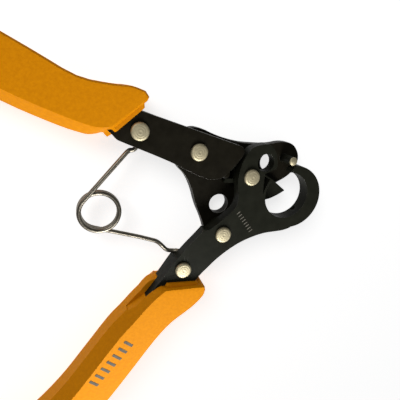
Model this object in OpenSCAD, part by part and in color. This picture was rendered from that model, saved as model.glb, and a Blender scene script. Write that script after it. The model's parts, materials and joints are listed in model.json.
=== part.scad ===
// Crimping pliers for jewellery loops: a spring-opened hand tool with a
// C-shaped forming ring, a fixed forming pin, a cam blade worked by the upper
// lever through a tongue-and-fork, two moulded grips and a torsion spring.
// Origin on the main pivot's axis, on the plane the tool lies on; +X towards
// the head, +Y towards the upper grip, +Z along the rivets. Stored open.

/* [Layers] */
// height of the rear plate's rear face
z_rear = 2.3; // [2:0.1:3]
// thickness of the rear plate
t_rear = 2.4; // [2:0.1:2.8]
// height of the gap between the rear and front plates
t_mid = 2.4; // [2:0.1:2.8]
// thickness of the front plate
t_front = 3.0; // [2.6:0.1:3.4]
// running gap between faces that slide past each other
slip = 0.12; // [0.08:0.01:0.2]

/* [Rivets] */
// rivet shank radius
shank_r = 1.5; // [1.2:0.1:1.8]
// rivet head radius
head_r = 2.1; // [1.8:0.1:2.4]
// rivet head height
head_h = 1.1; // [0.8:0.1:1.3]
// radial clearance where a part turns on a rivet
turn_gap = 0.05; // [0.02:0.01:0.1]

/* [Head] */
// radius of the forming pin
pin_r = 1.1; // [0.9:0.05:1.3]
// inner radius of the forming ring
ring_in = 6.3; // [6:0.1:6.8]
// outer radius of the forming ring
ring_out = 8.6; // [8.2:0.1:9]
// depth of the forming ring's bore
ring_deep = 3.75; // [3.2:0.05:4.5]
// radius of the wire feed hole in the ring
feed_r = 0.65; // [0.5:0.05:0.8]
// radius of the lightening hole in the front plate's lobe
lobe_hole_r = 2.3; // [1.8:0.1:2.5]
// radius of the rear plate's hole between the lower arm and the pivots
rear_hole_r = 2.6; // [2:0.1:2.8]
// radius of the rear plate's hole beside the forming pin
side_hole_r = 2.5; // [2:0.1:2.6]

/* [Cam drive] */
// distance from the upper pivot to the tongue's tip
tip_reach = 10.6; // [10.4:0.1:10.8]
// radius of the tongue's tip
tip_r = 1.1; // [1:0.05:1.2]
// clearance each side of the tip in the cam's fork
fork_gap = 0.18; // [0.14:0.01:0.25]
// length of the cam's fork block, short enough to clear the tongue's flanks
fork_len = 3.85; // [3.6:0.05:3.9]
// travel of the upper lever, degrees
lever_travel = 24; // [20:1:24]

/* [Spring] */
// spring wire radius
wire_r = 0.55; // [0.5:0.05:0.6]
// mean radius of the spring's coil
coil_r = 4.7; // [4.4:0.1:5]

/* [Grips] */
// width of the bevel along the grips' edges
grip_bevel = 2.6; // [1.6:0.2:3]
// rounding of the grips' outer edges
grip_edge = 0.4; // [0.3:0.1:1.4]

/* [Hidden] */
z_mid = z_rear + t_rear;
z_front = z_mid + t_mid;
z_top = z_front + t_front;
fit = 0.01;

A = [-25.8, 16.0];
B = [-12.9, 8.9];
C = [0, 0];
D = [-9.2, -13.7];
E = [-21.0, -20.8];
PIN = [12.2, 1.7];
RING = [9.7, -7.1];
RIM = [11.2, -7.95];
COIL = [-38.2, -1.8];
LOBE_HOLE = [4.3, 2.9];
REAR_HOLE = [-7.7, -7.2];
SIDE_HOLE = [7.7, 1.4];

bc_angle = atan2(C[1] - B[1], C[0] - B[0]);
tip_angle = bc_angle - lever_travel / 2;
TIP = B + tip_reach * [cos(tip_angle), sin(tip_angle)];
across = [cos(tip_angle + 90), sin(tip_angle + 90)];
fork_angle = atan2(TIP[1], TIP[0]);

metal_lower = [0.13, 0.13, 0.11];
metal_upper = [0.11, 0.10, 0.08];
nickel = [0.74, 0.70, 0.60];
orange = [0.95, 0.56, 0.05];
steel = [0.62, 0.60, 0.56];

// Chaikin corner cutting of a closed outline
function cut(p) = [
    for (i = [0 : len(p) - 1])
        let (a = p[i], b = p[(i + 1) % len(p)])
        for (k = [0.25, 0.75]) a * (1 - k) + b * k
];
function soft(p, n) = n == 0 ? p : soft(cut(p), n - 1);

// Tang edges shared by the layers of each lever
lower_tang = [
    [-11.8, -20.3], [-14.1, -21.9], [-17.1, -23.9], [-19.8, -26.8], [-25.5, -31.4], [-34, -36.8],
    [-42.5, -44], [-47, -42], [-44, -36.8], [-35.6, -30.0]];
upper_tang = [
    [-30.0, 14.3], [-31.2, 15.1], [-32.0, 16.6], [-34.6, 19.8], [-46, 27.2], [-49, 31.6], [-45.5, 32.8], [-38, 27.6], [-30.5, 23.3],
    [-23.7, 19.8]];

front_outline = concat(
    [[-12.2, -11.6], [-8.4, -9.4], [-4.9, -7.4], [-3.9, -5.2], [-3.8, -1.6], [-3.5, 0.7], [-2.3, 3.8],
     [-0.3, 6.5], [1.1, 7.6], [3.7, 7.8], [5.6, 7.6], [6.9, 6.1], [7.6, 3.6], [7.4, 0.9], [6.2, -0.1],
     [3.8, 0.0], [3.6, -1.0], [3.2, -3.0], [2.8, -6.0], [4.0, -9.0], [7, -12], [11.5, -16.4],
     [8.8, -17.0], [5.8, -16.7], [1.9, -16.2], [-3.7, -16.9], [-7.8, -18.3]],
    lower_tang,
    [[-27.4, -22.6], [-20.8, -16.2], [-14.5, -11.7], [-14.0, -11.1], [-13.4, -11.4]]);

// spacer edge, with a shoulder for the spring's tail
lower_inner = concat(
    [[-16.9, -16.3], [-12.6, -13.0], [-9.0, -10.4], [-5, -11], [-4.2, -14.5], [-6, -17.7]],
    lower_tang,
    [[-27.6, -23.1], [-22.7, -18.0], [-21.3, -16.8], [-20.0, -17.7]]);

upper_outline = concat(
    [[-3.4, 9.1], [-1.6, 8.2], [-1.1, 6.6], [-3.4, 4.4], [-4.9, 3.2], [-7.0, 1.7], [-8.6, 1.3],
     [-11.6, 1.7], [-17.3, 5.8], [-20.1, 8.0]],
    upper_tang);

tongue_outline = concat(
    [[-10.6, 12.4], [-8.2, 8.6], [-8.8, 5.0], [-12.0, 3.4], [-17.3, 6.2], [-20.1, 8.2]], upper_tang);

upper_rear_outline = concat([[-16.0, 15.4], [-15.0, 10], [-17.3, 6.2], [-20.1, 8.2]], upper_tang);

rear_outline = [
    [-12.7, 14.4], [-9.6, 13.2], [-7.4, 11.7], [-4.3, 9.9], [-0.1, 8.1], [3.0, 7.3], [7.9, 6.2],
    [12.2, 6.3], [15.6, 4.9], [17.0, 1.6], [16.2, -1.2], [13.8, -3.6], [9.4, -5.0], [4.5, -6.2],
    [0.4, -9.5], [-4.0, -13.4], [-5.6, -17.2], [-9.2, -18.9], [-11.8, -17.2], [-12.4, -14.4],
    [-12.9, -10.4], [-14.1, -6.0], [-14.5, -1.6], [-15.6, 2.4], [-17.6, 5.0], [-18.7, 8.9],
    [-16.9, 13.0]];

cam_outline = [
    [1.0, 2.4], [4.6, -0.4], [8.2, -3.7], [11.1, -6.9], [11.25, -7.2], [10.9, -7.35], [9.0, -8.0],
    [6.8, -8.5], [4.6, -8.6], [2.4, -7.4], [0.4, -4.8], [-1.4, -2.2]];

// wide mouth of the ring, beside the forming pin
mouth_outline = [
    [3.6, 0.0], [6.2, -2.6], [9.7, -7.1], [11.15, -1.0], [13.55, 0.9], [12.0, 5.0], [8.4, 4.6],
    [7.7, 1.0]];

// height of the lower grip's rim beside the tang
rim_z = 7.0;
flange_outline = [
    [-27.0, -24.6], [-27.6, -23.5], [-29.3, -23.1], [-31.2, -24.2], [-34.0, -26.9], [-33, -29],
    [-27.6, -26.0]];

// cut that thins the lower grip's nose behind the tang
relief_outline = [
    [-31.0, -20.0], [-28.4, -23.6], [-27.2, -24.9], [-21.0, -25.8], [-12.0, -27.0], [-12.0, -20.0]];
window_outline = [
    [-26.5, -21.0], [-26.9, -23.2], [-31.0, -26.1], [-36.9, -28.9], [-36.0, -24.0], [-30, -20]];

// middle of the cam's sweep that the front plate and spacer stay clear of
sweep_r = 13.7;
feed_angle = -58;

// ---- shared shapes ----
module slab(z0, z1) { translate([0, 0, z0]) linear_extrude(height = z1 - z0) children(); }

module hole(p, r, z0, z1) {
    translate([p[0], p[1], z0 - 0.5]) cylinder(r = r, h = z1 - z0 + 1, $fn = 64);
}

module disc(p, r, z0, z1) {
    translate([p[0], p[1], z0]) cylinder(r = r, h = z1 - z0, $fn = 64);
}

// Rivet with a low domed front head and a flat rear head
module rivet(p, z0, z1) {
    translate([p[0], p[1], 0]) rotate_extrude($fn = 64) polygon([
        [0, z0 - head_h], [head_r - 0.25, z0 - head_h], [head_r, z0 - head_h + 0.25], [head_r, z0],
        [shank_r, z0], [shank_r, z1], [head_r, z1], [head_r, z1 + 0.45 * head_h],
        [head_r - 0.2, z1 + 0.75 * head_h],
        [head_r - 0.55, z1 + 0.92 * head_h], [0, z1 + head_h]]);
}

function unit(v) = v / norm(v);

// Round wire swept along a path
module wire(path, r) {
    n = len(path);
    m = 10;
    dir = [for (i = [0 : n - 1]) unit(path[min(i + 1, n - 1)] - path[max(i - 1, 0)])];
    pts = [for (i = [0 : n - 1])
        let (s = unit(cross(dir[i], [0, 0, 1])), u = cross(s, dir[i]))
        for (k = [0 : m - 1]) path[i] + r * (cos(360 * k / m) * s + sin(360 * k / m) * u)];
    sides = [for (i = [0 : n - 2]) for (k = [0 : m - 1])
        let (a = i * m + k, b = i * m + (k + 1) % m)
        each [[a, b, b + m], [a, b + m, a + m]]];
    cap0 = [for (k = [1 : m - 2]) [0, k + 1, k]];
    cap1 = [for (k = [1 : m - 2]) [(n - 1) * m, (n - 1) * m + k, (n - 1) * m + k + 1]];
    polyhedron(points = pts, faces = concat(sides, cap0, cap1), convexity = 6);
}

// Grip body: eight-sided sections, widely bevelled along the inner edge
module grip_body(st, turn_faces = false) {
    n = len(st);
    sec = [for (s = st)
        let (o = s[0], i = s[1], lo = s[2], hi = s[3], w = norm(o - i), u = (o - i) / w,
             b = min(grip_bevel, 0.3 * w), k = 0.3 * (hi - lo), e = grip_edge)
        [[i + b * u, lo], [o - e * u, lo], [o, lo + e], [o, hi - e],
         [o - e * u, hi], [i + b * u, hi], [i, hi - k], [i, lo + k]]];
    pts = [for (s = sec) for (q = s) [q[0][0], q[0][1], q[1]]];
    sides = [for (j = [0 : n - 2]) for (k = [0 : 7])
        let (a = j * 8 + k, b = j * 8 + (k + 1) % 8)
        each [[a, b, b + 8], [a, b + 8, a + 8]]];
    cap0 = [for (k = [1 : 6]) [0, k + 1, k]];
    cap1 = [for (k = [1 : 6]) [(n - 1) * 8, (n - 1) * 8 + k, (n - 1) * 8 + k + 1]];
    faces = concat(sides, cap0, cap1);
    turned = [for (f = faces) [f[2], f[1], f[0]]];
    polyhedron(points = pts, faces = turn_faces ? turned : faces, convexity = 6);
}

// Catmull-Rom curve through a run of stations, steps per span
function spline(a, b, c, d, t) =
    0.5 * (2 * b + (c - a) * t + (2 * a - 5 * b + 4 * c - d) * t * t + (3 * b - a - 3 * c + d) * t * t * t);
function run(st, steps) = [
    for (i = [0 : len(st) - 2])
        let (a = st[max(i - 1, 0)], b = st[i], c = st[i + 1], d = st[min(i + 2, len(st) - 1)])
        for (k = [0 : steps - 1]) [for (m = [0 : 3]) spline(a[m], b[m], c[m], d[m], k / steps)],
    st[len(st) - 1]];

// Each station: outer edge, inner edge, lowest and highest z
upper_nose = [
    [[-23.9, 20.9], [-32.9, 15.7], 1.7, 10.7], [[-23.8, 22.0], [-33.4, 16.4], 1.6, 10.8],
    [[-23.1, 22.4], [-33.5, 16.8], 0.9, 11.5], [[-22.8, 23.1], [-34.0, 17.0], 0.1, 12.3]];
upper_run = [
    [[-23.4, 24.4], [-34.9, 16.9], 0, 12.4], [[-26.0, 25.8], [-36.6, 17.0], 0, 12.4],
    [[-29.4, 26.6], [-38.4, 17.7], 0, 12.4], [[-36.4, 29.2], [-42.2, 19.8], 0, 12.4],
    [[-44.1, 35.3], [-49, 24.3], 0, 12.4], [[-52.6, 41.8], [-57.2, 30.3], 0, 12.4],
    [[-63, 47.6], [-66.6, 35.8], 0, 12.4],
    [[-75, 51.8], [-77.4, 39.6], 0, 12.4], [[-89, 53.6], [-89.8, 41.3], 0, 12.4],
    [[-103, 52.6], [-102.2, 40.9], 0, 12.4], [[-113.6, 49.6], [-112.2, 39.3], 0, 12.4],
    [[-119.6, 46.8], [-118.4, 38.8], 0.8, 11.6], [[-122.2, 44.6], [-121.6, 40.4], 2.4, 10.0]];

lower_nose = [
    [[-17.9, -25.1], [-27.7, -22.8], 1.7, 10.7], [[-17.5, -25.9], [-28.2, -23.6], 1.6, 10.8],
    [[-16.8, -25.8], [-28.7, -23.5], 0.9, 11.5], [[-16.3, -26.3], [-29.1, -23.7], 0.1, 12.3]];
lower_run = [
    [[-16.3, -27.2], [-30.2, -24.2], 0, 12.4], [[-17.2, -28.9], [-32.2, -25.3], 0, 12.4],
    [[-20.4, -31.2], [-34.6, -26.9], 0, 12.4], [[-26.4, -34.1], [-38.2, -29.7], 0, 12.4],
    [[-31.8, -38.2], [-42.4, -32.8], 0, 12.4], [[-40.2, -46.2], [-50.4, -40.2], 0, 12.4],
    [[-49.0, -54.2], [-58.2, -47.2], 0, 12.4], [[-60.2, -62.4], [-67.4, -53.6], 0, 12.4],
    [[-73.2, -69.2], [-78.2, -58.8], 0, 12.4], [[-88, -73.3], [-90.4, -62.0], 0, 12.4],
    [[-102, -74.0], [-102.4, -62.9], 0, 12.4], [[-112.8, -72.2], [-112.6, -62.4], 0, 12.4],
    [[-119.2, -69.6], [-118.8, -62.8], 0.8, 11.6], [[-122.0, -67.8], [-121.6, -64.4], 2.4, 10.0]];

// Places where the spring's two ends are held
spring_z = 5.9;
socket_dir = [0.94, -0.34];
socket_at = [-21.6, -17.0];
socket_r = 0.95;
upper_end = [-26.8, 11.9];

upper_leg = [
    [-41.0, 1.9, 6.1], [-28.9, 11.3, 5.95], [-28.2, 11.6, spring_z], [-27.6, 11.5, spring_z],
    [-27.0, 11.6, spring_z], [-26.5, 12.3, spring_z]];
lower_leg = [
    [-40.3, -5.9, 4.72], [-30, -11.2, 4.72], [-27.4, -12.5, 5.2], [-26.0, -13.1, 5.6],
    [-25.2, -13.9, spring_z], [-23.9, -16.0, spring_z], [-23.2, -16.5, spring_z],
    [-22.3, -16.75, spring_z], [-20.9, -17.25, spring_z]];

// ---- lower lever, fixed ----
module front_plate() color(metal_lower) difference() {
    union() {
        slab(z_front, z_top) polygon(soft(front_outline, 2));
        disc(RIM, ring_out, z_front, z_top);
        // collar behind the ring, clear of the cam's sweep
        difference() {
            disc(RIM, ring_out, z_top - ring_deep, z_front + 0.1);
            hole(C, sweep_r, 0, z_front);
        }
    }
    hole(RING, ring_in, z_front - 1, z_top);
    slab(z_front - 1, z_top + 1) polygon(mouth_outline);
    hole(LOBE_HOLE, lobe_hole_r, z_front, z_top);
    hole(C, shank_r + fit, z_front, z_top);
    hole(D, shank_r + fit, z_front, z_top);
    hole(E, shank_r + fit, z_front, z_top);
    // radial wire feed hole
    translate([RING[0], RING[1], z_front + 0.25]) rotate([0, 90, feed_angle])
        cylinder(r = feed_r, h = 14, $fn = 32);
}

module lower_spacer() color(metal_lower) difference() {
    slab(z_mid, z_front) polygon(soft(lower_inner, 2));
    hole(C, sweep_r, z_mid, z_front);
    hole(D, shank_r + fit, z_mid, z_front);
    hole(E, shank_r + fit, z_mid, z_front);
    // counterbore, so that the rear rivet's head ends flush
    hole(E, head_r + fit, z_mid, z_mid + head_h - 0.5);
    spring_socket();
}

module spring_socket() {
    p = socket_at - 1.2 * socket_dir;
    translate([p[0], p[1], spring_z]) rotate([0, 90, atan2(socket_dir[1], socket_dir[0])])
        cylinder(r = socket_r, h = 3, $fn = 32);
}

module rear_plate() color(metal_upper) difference() {
    slab(z_rear, z_mid) polygon(soft(rear_outline, 2));
    hole(B, shank_r + turn_gap, z_rear, z_mid);
    hole(C, shank_r + fit, z_rear, z_mid);
    hole(D, shank_r + fit, z_rear, z_mid);
    hole(PIN, pin_r + fit, z_rear, z_mid);
    hole(REAR_HOLE, rear_hole_r, z_rear, z_mid);
    hole(SIDE_HOLE, side_hole_r, z_rear, z_mid);
}

module forming_pin() color(nickel) translate([PIN[0], PIN[1], z_rear]) rotate_extrude($fn = 64) {
    pin_h = z_top - z_rear;
    polygon([[0, 0], [pin_r, 0], [pin_r, pin_h - 0.15], [pin_r - 0.15, pin_h], [0, pin_h]]);
}

module main_pivot_rivet() color(nickel) rivet(C, z_rear, z_top);
module lower_front_rivet() color(nickel) rivet(D, z_rear, z_top);
module lower_rear_rivet() color(nickel) rivet(E, z_mid + head_h, z_top);

module lower_grip() color(orange) difference() {
    union() {
        grip_body(concat(lower_nose, run(lower_run, 3)), turn_faces = true);
        // flange beside the tang
        slab(3.7, rim_z) polygon(soft(flange_outline, 2));
    }
    slab(z_mid, z_top) polygon(soft(lower_inner, 2));
    slab(z_front, z_top) polygon(soft(front_outline, 2));
    slab(-1, 4.0) polygon(relief_outline);
    // long window in the inner side that shows the tang
    slab(rim_z, z_top - 0.1) polygon(window_outline);
}

// ---- upper lever, turns on the upper pivot ----
module upper_front_arm() color(metal_upper) difference() {
    slab(z_front - slip, z_top) polygon(soft(upper_outline, 2));
    hole(A, shank_r + fit, z_front, z_top);
    hole(B, shank_r + fit, z_front, z_top);
}

module upper_tongue() color(metal_upper) difference() {
    union() {
        slab(z_mid + slip, z_front - slip) polygon(soft(tongue_outline, 2));
        slab(z_mid + slip, z_front - slip)
            polygon([B + 3 * across, B - 3 * across, TIP - 0.7 * across, TIP + 0.7 * across]);
        disc(TIP, tip_r, z_mid + slip, z_front - slip);
    }
    hole(A, shank_r + fit, z_mid, z_front);
    hole(B, shank_r + fit, z_mid, z_front);
    // pocket for the spring's hooked end
    disc(upper_end, 1.65, z_mid + 0.4, z_front - 0.4);
}

module upper_rear_arm() color(metal_upper) difference() {
    slab(z_rear, z_mid + slip) polygon(soft(upper_rear_outline, 2));
    hole(B, 6.6, z_rear, z_mid + slip);
    hole(A, shank_r + fit, z_rear, z_mid + slip);
}

module upper_pivot_rivet() color(nickel) rivet(B, z_rear - 0.05, z_top);
module upper_rear_rivet() color(nickel) rivet(A, z_rear, z_top);

module upper_pivot_washer() color(steel) difference() {
    disc(B, 2.9, z_mid + 0.02, z_mid + slip);
    hole(B, shank_r + turn_gap, z_mid, z_mid + slip);
}

module upper_grip() color(orange) difference() {
    grip_body(concat(upper_nose, run(upper_run, 3)));
    slab(z_rear, z_top) polygon(soft(upper_outline, 2));
}

// ---- cam, turns on the main pivot ----
module cam_blade() color(metal_lower) difference() {
    union() {
        slab(z_mid + slip, z_mid + 1.45) polygon(cam_outline);
        disc(C, 3.0, z_mid + slip, z_front - 0.45);
        // fork that the tongue's tip slides in
        rotate([0, 0, fork_angle]) translate([1.9, -tip_r - fork_gap - 1.1, z_mid + slip])
            cube([fork_len, 2 * (tip_r + fork_gap + 1.1), t_mid - 0.6]);
    }
    hole(C, shank_r + turn_gap, z_mid, z_front);
    rotate([0, 0, fork_angle]) translate([3.4, -tip_r - fork_gap, z_mid - 1])
        cube([6, 2 * (tip_r + fork_gap), t_mid + 2]);
}

module cam_washer() color(steel) difference() {
    disc(C, 2.6, z_front - 0.4, z_front);
    hole(C, shank_r + fit, z_front - 1, z_front);
}

// ---- return spring ----
module return_spring() color(steel) {
    difference() {
        disc(COIL, coil_r + wire_r + 0.03, 5.4, 7.6);
        hole(COIL, coil_r - wire_r - 0.03, 5.4, 7.6);
    }
    wire(upper_leg, wire_r);
}

module return_spring_tail() color(steel) {
    difference() {
        disc(COIL, coil_r + wire_r + 0.03, 4.1, 5.34);
        hole(COIL, coil_r - wire_r - 0.03, 4.1, 5.34);
    }
    wire(lower_leg, wire_r);
}

front_plate();
lower_spacer();
rear_plate();
forming_pin();
main_pivot_rivet();
lower_front_rivet();
lower_rear_rivet();
lower_grip();
upper_front_arm();
upper_tongue();
upper_rear_arm();
upper_pivot_rivet();
upper_rear_rivet();
upper_grip();
cam_blade();
cam_washer();
upper_pivot_washer();
return_spring();
return_spring_tail();
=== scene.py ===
"""Crimping pliers for jewellery loops, lying open on a pale bench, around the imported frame."""
import json
import math

import bpy
from mathutils import Matrix, Vector

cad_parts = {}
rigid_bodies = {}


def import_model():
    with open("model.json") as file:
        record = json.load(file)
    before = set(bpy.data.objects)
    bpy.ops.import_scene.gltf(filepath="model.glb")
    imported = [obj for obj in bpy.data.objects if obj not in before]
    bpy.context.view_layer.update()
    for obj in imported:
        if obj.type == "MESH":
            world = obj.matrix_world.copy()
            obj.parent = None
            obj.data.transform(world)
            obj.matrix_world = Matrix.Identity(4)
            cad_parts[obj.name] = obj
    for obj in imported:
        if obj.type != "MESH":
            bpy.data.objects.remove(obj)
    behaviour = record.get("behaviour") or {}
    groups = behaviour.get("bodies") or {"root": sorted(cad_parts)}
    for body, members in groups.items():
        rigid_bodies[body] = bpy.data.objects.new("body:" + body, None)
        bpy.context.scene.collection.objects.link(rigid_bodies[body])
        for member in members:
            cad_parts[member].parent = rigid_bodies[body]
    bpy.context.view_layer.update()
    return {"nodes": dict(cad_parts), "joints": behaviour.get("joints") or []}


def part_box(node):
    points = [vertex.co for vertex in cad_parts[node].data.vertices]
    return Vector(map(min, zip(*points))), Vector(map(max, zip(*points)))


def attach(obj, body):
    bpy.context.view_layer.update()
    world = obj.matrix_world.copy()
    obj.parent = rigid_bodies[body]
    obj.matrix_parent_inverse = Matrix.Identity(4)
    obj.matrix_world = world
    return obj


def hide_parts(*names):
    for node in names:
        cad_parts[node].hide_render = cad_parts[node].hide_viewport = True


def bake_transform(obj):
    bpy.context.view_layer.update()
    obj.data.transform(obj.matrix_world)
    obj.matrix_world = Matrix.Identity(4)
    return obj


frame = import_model()
nodes = frame["nodes"]
MM = 0.001

# ---- places worked out from the frame ----
RIVET_BODIES = {
    "main_pivot_rivet": "lower_lever",
    "lower_front_rivet": "lower_lever",
    "lower_rear_rivet": "lower_lever",
    "upper_pivot_rivet": "upper_lever",
    "upper_rear_rivet": "upper_lever",
}
JOINTS = {joint["name"]: joint for joint in frame["joints"]}
COIL = Vector(JOINTS["spring_coil"]["pos_m"])
FRONT_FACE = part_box("front_plate")[1].z
FLOOR_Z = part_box("lower_grip")[0].z
RELIEF_DEPTH = 0.08 * MM


# ---- node helpers ----
def shader_of(material):
    """The node tree of a material and its shader."""
    material.use_nodes = True
    tree = material.node_tree
    return tree, tree.nodes["Principled BSDF"]


def noise(tree, scale, detail=3.0, roughness=0.6):
    """Object-space noise, in metres."""
    coords = tree.nodes.new("ShaderNodeTexCoord")
    texture = tree.nodes.new("ShaderNodeTexNoise")
    texture.inputs["Scale"].default_value = scale
    texture.inputs["Detail"].default_value = detail
    texture.inputs["Roughness"].default_value = roughness
    tree.links.new(coords.outputs["Object"], texture.inputs["Vector"])
    return texture.outputs["Fac"]


def ramp(tree, factor, low, high, start=0.3, end=0.7):
    """Colour ramp between two colours."""
    node = tree.nodes.new("ShaderNodeValToRGB")
    node.color_ramp.elements[0].position = start
    node.color_ramp.elements[1].position = end
    node.color_ramp.elements[0].color = (*low, 1)
    node.color_ramp.elements[1].color = (*high, 1)
    tree.links.new(factor, node.inputs["Fac"])
    return node.outputs["Color"]


def bump(tree, shader, height, strength, distance):
    """Fine surface relief."""
    node = tree.nodes.new("ShaderNodeBump")
    node.inputs["Strength"].default_value = strength
    node.inputs["Distance"].default_value = distance
    tree.links.new(height, node.inputs["Height"])
    tree.links.new(node.outputs["Normal"], shader.inputs["Normal"])


def surface(name, low, high, scale, metallic, rough, relief, relief_scale, gloss=0.5):
    """A procedural material: mottled colour, mottled roughness and fine relief."""
    material = bpy.data.materials.new(name)
    tree, shader = shader_of(material)
    shader.inputs["Specular IOR Level"].default_value = gloss
    mottle = noise(tree, scale)
    tree.links.new(ramp(tree, mottle, low, high), shader.inputs["Base Color"])
    rough_low, rough_high = rough
    grain = ramp(tree, noise(tree, scale * 2.3), (rough_low,) * 3, (rough_high,) * 3)
    tree.links.new(grain, shader.inputs["Roughness"])
    shader.inputs["Metallic"].default_value = metallic
    bump(tree, shader, noise(tree, relief_scale, 2.0), relief, RELIEF_DEPTH)
    return material


OXIDE_COOL = surface(
    "oxide_cool", (0.0078, 0.0082, 0.0052), (0.0120, 0.0124, 0.0082), scale=420, metallic=0.0,
    rough=(0.42, 0.55), relief=0.10, relief_scale=5200, gloss=0.05)
OXIDE_WARM = surface(
    "oxide_warm", (0.0062, 0.0052, 0.0030), (0.0100, 0.0086, 0.0052), scale=420, metallic=0.0,
    rough=(0.38, 0.52), relief=0.10, relief_scale=5200, gloss=0.05)
# lighter metallic edge colour: partly rubbed wear, partly a painted highlight along the bevelled edges
EDGE_WEAR_AND_HIGHLIGHT = surface(
    "edge_wear_and_painted_highlight", (0.045, 0.044, 0.038), (0.11, 0.105, 0.09), scale=900, metallic=0.5,
    rough=(0.32, 0.45), relief=0.10, relief_scale=5200)
GRIP = surface(
    "grip_plastic", (0.53, 0.183, 0.0004), (0.61, 0.220, 0.0008), scale=1300, metallic=0.0,
    rough=(0.52, 0.68), relief=0.45, relief_scale=2600, gloss=0.045)
PRINT = surface(
    "grey_print", (0.085, 0.076, 0.058), (0.125, 0.112, 0.086), scale=900, metallic=0.0,
    rough=(0.6, 0.7), relief=0.05, relief_scale=2600, gloss=0.1)
TICK = surface(
    "engraved_tick", (0.14, 0.13, 0.105), (0.21, 0.195, 0.16), scale=2400, metallic=0.3,
    rough=(0.5, 0.6), relief=0.05, relief_scale=4200, gloss=0.2)
SPRING_WIRE = surface(
    "spring_wire", (0.135, 0.122, 0.096), (0.200, 0.182, 0.146), scale=700, metallic=1.0,
    rough=(0.28, 0.40), relief=0.08, relief_scale=4200)
NICKEL = surface(
    "turned_nickel", (0.36, 0.318, 0.205), (0.46, 0.405, 0.27), scale=900, metallic=0.85,
    rough=(0.50, 0.62), relief=0.22, relief_scale=6000)
WASHER = surface(
    "washer_steel", (0.30, 0.29, 0.27), (0.40, 0.39, 0.36), scale=900, metallic=1.0,
    rough=(0.3, 0.42), relief=0.05, relief_scale=4200)


# ---- CAD nodes: materials and softened edges ----
WELD_REACH = 0.002 * MM
TIGHT_EDGE = 0.05 * MM


def finish_node(name, material, edge=None, width=0.12 * MM, segments=2, angle=28):
    """Gives a CAD node its material and softened edges, lighter where an edge material is given: partly
    rubbed wear, partly a painted highlight.
    """
    obj = nodes[name]
    obj.data.materials.clear()
    obj.data.materials.append(material)
    weld = obj.modifiers.new("weld", "WELD")
    weld.merge_threshold = WELD_REACH
    bevel = obj.modifiers.new("edges", "BEVEL")
    bevel.limit_method = "ANGLE"
    bevel.angle_limit = math.radians(angle)
    bevel.width = width
    bevel.segments = segments
    bevel.harden_normals = False
    # the bevel faces take the edge material: partly rubbed wear, partly a painted highlight along each
    # softened edge
    if edge:
        obj.data.materials.append(edge)
        bevel.material = 1
    for polygon in obj.data.polygons:
        polygon.use_smooth = True
        polygon.material_index = 0
    smooth = obj.modifiers.new("normals", "WEIGHTED_NORMAL")
    smooth.keep_sharp = True


for name in ("front_plate", "lower_spacer"):
    finish_node(name, OXIDE_COOL, EDGE_WEAR_AND_HIGHLIGHT)
for name in ("rear_plate", "upper_front_arm", "upper_rear_arm"):
    finish_node(name, OXIDE_WARM, EDGE_WEAR_AND_HIGHLIGHT)
finish_node("cam_blade", OXIDE_COOL, EDGE_WEAR_AND_HIGHLIGHT, width=TIGHT_EDGE, segments=1)
finish_node("upper_tongue", OXIDE_WARM, EDGE_WEAR_AND_HIGHLIGHT, width=TIGHT_EDGE, segments=1)
for name in ("lower_grip", "upper_grip"):
    finish_node(name, GRIP, width=0.22 * MM, segments=2, angle=24)
for name in ("cam_washer", "upper_pivot_washer"):
    finish_node(name, WASHER, width=0.01 * MM, segments=1)


# ---- mesh helpers ----
def add_mesh(name, vertices, faces, material, body=None):
    """A new smooth piece, which rides on a body if one is given."""
    mesh = bpy.data.meshes.new(name)
    mesh.from_pydata([tuple(v) for v in vertices], [], faces)
    mesh.materials.append(material)
    for polygon in mesh.polygons:
        polygon.use_smooth = True
    mesh.update()
    obj = bpy.data.objects.new(name, mesh)
    bpy.context.scene.collection.objects.link(obj)
    if body:
        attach(obj, body)
    return obj


def lathe(name, profile, centre, material, body, steps=48):
    """Turns (radius, z) points, from the axis out and back to the axis, about a vertical axis."""
    vertices, faces = [Vector((centre.x, centre.y, profile[0][1]))], []
    rings = profile[1:-1]
    for radius, z in rings:
        for k in range(steps):
            a = 2 * math.pi * k / steps
            vertices.append(Vector((centre.x + radius * math.cos(a), centre.y + radius * math.sin(a), z)))
    vertices.append(Vector((centre.x, centre.y, profile[-1][1])))
    last = len(vertices) - 1
    for k in range(steps):
        k2 = (k + 1) % steps
        faces.append((0, 1 + k2, 1 + k))
        for j in range(len(rings) - 1):
            a, b = 1 + j * steps, 1 + (j + 1) * steps
            faces.append((a + k, a + k2, b + k2, b + k))
        top = 1 + (len(rings) - 1) * steps
        faces.append((top + k, top + k2, last))
    return add_mesh(name, vertices, faces, material, body)


def sweep(name, path, radius, material, sides):
    """A round wire along a smooth path, on no body yet."""
    vertices, faces = [], []
    up = Vector((0, 0, 1))
    count = len(path)
    for i, point in enumerate(path):
        ahead = (path[min(i + 1, count - 1)] - path[max(i - 1, 0)]).normalized()
        side = ahead.cross(up).normalized()
        lift = side.cross(ahead).normalized()
        for k in range(sides):
            a = 2 * math.pi * k / sides
            vertices.append(point + radius * (math.cos(a) * side + math.sin(a) * lift))
    for i in range(count - 1):
        for k in range(sides):
            k2 = (k + 1) % sides
            faces.append((i * sides + k, i * sides + k2, (i + 1) * sides + k2, (i + 1) * sides + k))
    faces.append(tuple(range(sides)))
    faces.append(tuple(reversed(range((count - 1) * sides, count * sides))))
    return add_mesh(name, vertices, faces, material)


# ---- rivets and pin: turned pieces in place of the CAD ones ----
# each ring of a rivet's head: its radius as a share of the head's, its height as a share of the crown's
CROWN_RINGS = [
    (0.97, 0.30), (0.90, 0.55), (0.80, 0.70), (0.66, 0.80), (0.62, 0.76), (0.57, 0.84),
    (0.42, 0.90), (0.38, 0.86), (0.33, 0.92), (0.16, 0.96), (0.10, 0.90)]
CROWN_FLATTEN = 0.8
SHANK_SHARE = 0.715
RIM = 0.45 * MM
REAR_HEAD = 1.1 * MM


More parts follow.
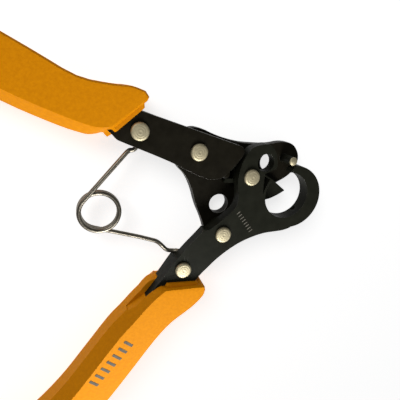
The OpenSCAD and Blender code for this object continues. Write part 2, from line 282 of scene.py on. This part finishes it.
def rivet(node, body):
    """A domed rivet with fine turned rings, no taller than the CAD one that it replaces."""
    low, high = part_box(node)
    centre = (low + high) / 2
    head = (high.x - low.x) / 2
    shank = head * SHANK_SHARE
    rear = low.z + REAR_HEAD
    crown = high.z - FRONT_FACE - RIM
    face = [(head * r, FRONT_FACE + RIM + crown * h * CROWN_FLATTEN) for r, h in CROWN_RINGS]
    profile = [
        (0, low.z), (head * 0.9, low.z), (head, low.z + 0.2 * MM), (head, rear), (shank, rear),
        (shank, FRONT_FACE), (head * 0.97, FRONT_FACE), (head, FRONT_FACE + 0.08 * MM),
        (head, FRONT_FACE + RIM * 0.8), *face, (0, FRONT_FACE + RIM + crown * 0.7)]
    piece = lathe(node + "_turned", profile, centre, NICKEL, body)
    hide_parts(node)


for node, body in RIVET_BODIES.items():
    rivet(node, body)


def forming_pin():
    """The pin, with painted shade down its side (the dark oxide) and the lighter nickel on its tip."""
    low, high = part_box("forming_pin")
    centre = (low + high) / 2
    r = (high.x - low.x) / 2
    tip = high.z
    profile = [
        (0, low.z), (r, low.z), (r, tip - 0.35 * MM), (r * 0.98, tip - 0.16 * MM), (r * 0.86, tip), (0, tip)]
    piece = lathe("forming_pin_ground", profile, centre, OXIDE_COOL, "lower_lever")
    # painted shade: the pin's side keeps the dark oxide, and only the top 0.3 mm takes the nickel
    piece.data.materials.append(NICKEL)
    for polygon in piece.data.polygons:
        if polygon.center.z > tip - 0.3 * MM:
            polygon.material_index = 1
    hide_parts("forming_pin")


forming_pin()


# ---- plain marks: printed bars on the lower grip, ticks on the ring plate ----
MARK_SUNK = 0.05 * MM
MARK_PROUD = 0.012 * MM
GRIP_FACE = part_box("lower_grip")[1].z


def row(start, end, count):
    """Evenly spaced places between two points given in millimetres."""
    a, b = Vector(start) * MM, Vector(end) * MM
    return [a.lerp(b, k / (count - 1)) for k in range(count)]


def bars(name, places, turn, length, width, z, material):
    """A row of thin raised bars on a face that looks along +Z."""
    along = Vector((math.cos(turn), math.sin(turn), 0))
    side = Vector((-along.y, along.x, 0))
    vertices, faces = [], []
    for x, y in places:
        first = len(vertices)
        for height in (z - MARK_SUNK, z + MARK_PROUD):
            for a, b in ((-1, -1), (1, -1), (1, 1), (-1, 1)):
                foot = Vector((x, y, height)) + along * (a * length / 2) + side * (b * width / 2)
                vertices.append(foot)
        faces.append([first + k for k in (4, 5, 6, 7)])
        faces.append([first + k for k in (3, 2, 1, 0)])
        for k in range(4):
            k2 = (k + 1) % 4
            faces.append([first + k, first + k2, first + k2 + 4, first + k + 4])
    piece = add_mesh(name, vertices, faces, material, "lower_lever")
    for polygon in piece.data.polygons:
        polygon.use_smooth = False


bars("grip_marks", row((-38.4, -36.4), (-49.0, -45.2), 7), turn=math.radians(130), length=2.6 * MM,
     width=0.75 * MM, z=GRIP_FACE, material=PRINT)
bars("plate_ticks", row((-4.3, -8.8), (-1.4, -14.6), 8), turn=math.radians(26.6), length=1.1 * MM,
     width=0.16 * MM, z=FRONT_FACE, material=TICK)


# ---- return spring: one wire, two legs and a coil ----
def rounded(points, radius, steps=6):
    """A polyline with its corners rounded by short arcs."""
    out = [points[0]]
    for before, corner, after in zip(points, points[1:], points[2:]):
        reach = min(radius, (corner - before).length * 0.45, (after - corner).length * 0.45)
        a = corner + (before - corner).normalized() * reach
        b = corner + (after - corner).normalized() * reach
        for k in range(steps + 1):
            t = k / steps
            out.append((1 - t) ** 2 * a + 2 * t * (1 - t) * corner + t * t * b)
    out.append(points[-1])
    return out


def millimetres(points):
    """Vectors in metres from points in millimetres."""
    return [Vector(point) * MM for point in points]


WIRE_R = 0.55 * MM
COIL_R = 4.7 * MM
COIL_START = math.radians(126.5)
COIL_FINISH = math.radians(243) + 4 * math.pi
COIL_TOP = 7.0 * MM
COIL_DROP = 2.25 * MM
COIL_STEPS = 110
UPPER_LEG = millimetres([
    (-26.5, 12.3, 5.9), (-27.0, 11.6, 5.9), (-27.7, 11.35, 5.9), (-28.4, 11.5, 5.9), (-29.2, 11.05, 5.95)])
LOWER_LEG = millimetres([
    (-30, -11.2, 4.75), (-26.0, -13.1, 5.6), (-25.2, -13.9, 5.9), (-23.9, -16.0, 5.9), (-23.2, -16.5, 5.9),
    (-20.9, -17.25, 5.9)])


def spring():
    """The whole spring as one wire, two rounded legs and a coil about the coil's place, riding on no body.
    """
    coil = []
    for k in range(COIL_STEPS + 1):
        a = COIL_START + (COIL_FINISH - COIL_START) * k / COIL_STEPS
        z = COIL_TOP - COIL_DROP * k / COIL_STEPS
        coil.append(Vector((COIL.x + COIL_R * math.cos(a), COIL.y + COIL_R * math.sin(a), z)))
    path = rounded(UPPER_LEG, 0.9 * MM) + coil + rounded(LOWER_LEG, 1.6 * MM)
    piece = sweep("return_spring_wire", path, WIRE_R, SPRING_WIRE, sides=16)
    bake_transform(piece)
    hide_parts("return_spring", "return_spring_tail")


spring()


# ---- floor, light and camera ----
BENCH_HALF = 3.0
BENCH_DROP = 0.02 * MM
LENS_HEIGHT = 0.0823


def floor():
    """A pale bench that the tool lies on."""
    z = FLOOR_Z - BENCH_DROP
    corners = [Vector((x * BENCH_HALF, y * BENCH_HALF, z)) for x, y in ((-1, -1), (1, -1), (1, 1), (-1, 1))]
    obj = add_mesh("bench", corners, [(0, 1, 2, 3)], bench_material())


def bench_material():
    """Nearly white, matt."""
    material = bpy.data.materials.new("bench_white")
    _, shader = shader_of(material)
    shader.inputs["Base Color"].default_value = (0.86, 0.86, 0.86, 1)
    shader.inputs["Roughness"].default_value = 0.9
    shader.inputs["Specular IOR Level"].default_value = 0.0
    shader.inputs["Emission Color"].default_value = (1, 1, 1, 1)
    shader.inputs["Emission Strength"].default_value = 0.72
    return material


def area_light(name, place, target, size, power):
    """A soft light that looks at a point."""
    data = bpy.data.lights.new(name, "AREA")
    data.shape = "DISK"
    data.size = size
    data.energy = power
    obj = bpy.data.objects.new(name, data)
    obj.location = place
    obj.rotation_euler = (Vector(target) - Vector(place)).to_track_quat("-Z", "Y").to_euler()
    bpy.context.scene.collection.objects.link(obj)
    return obj


def lights():
    """White surround, a broad light from above the far side, and a fill that leaves the bench alone."""
    world = bpy.data.worlds.new("studio")
    bpy.context.scene.world = world
    world.use_nodes = True
    background = world.node_tree.nodes["Background"]
    background.inputs["Color"].default_value = (1, 1, 1, 1)
    background.inputs["Strength"].default_value = 0.19
    area_light("key", (-0.20, 0.30, 0.34), target=(-0.03, 0, 0), size=0.22, power=0.66)
    fill = area_light("fill", (-0.035, -0.185, 0.135), target=(-0.04, -0.04, 0), size=0.12, power=0.82)
    lit = bpy.data.collections.new("lit_by_fill")
    for obj in bpy.data.objects:
        if obj.type == "MESH" and obj.name != "bench":
            lit.objects.link(obj)
    fill.light_linking.receiver_collection = lit


def camera():
    """The viewpoint: above the gap between the grips, looking down towards the head."""
    data = bpy.data.cameras.new("view")
    data.sensor_width = 36
    data.lens = 33.3
    data.clip_start = 0.005
    obj = bpy.data.objects.new("view", data)
    forward = Vector((0.2454, -0.3527, -0.9030)).normalized()
    right = Vector((0.9460, -0.1165, 0.3026))
    right = (right - forward * right.dot(forward)).normalized()
    up = right.cross(forward)
    turn = Matrix((right, up, -forward)).transposed()
    obj.matrix_world = Matrix.Translation((-0.0365, 0.0292, FRONT_FACE + LENS_HEIGHT)) @ turn.to_4x4()
    bpy.context.scene.collection.objects.link(obj)
    bpy.context.scene.camera = obj


floor()
lights()
camera()
bpy.context.scene.view_settings.view_transform = "Standard"
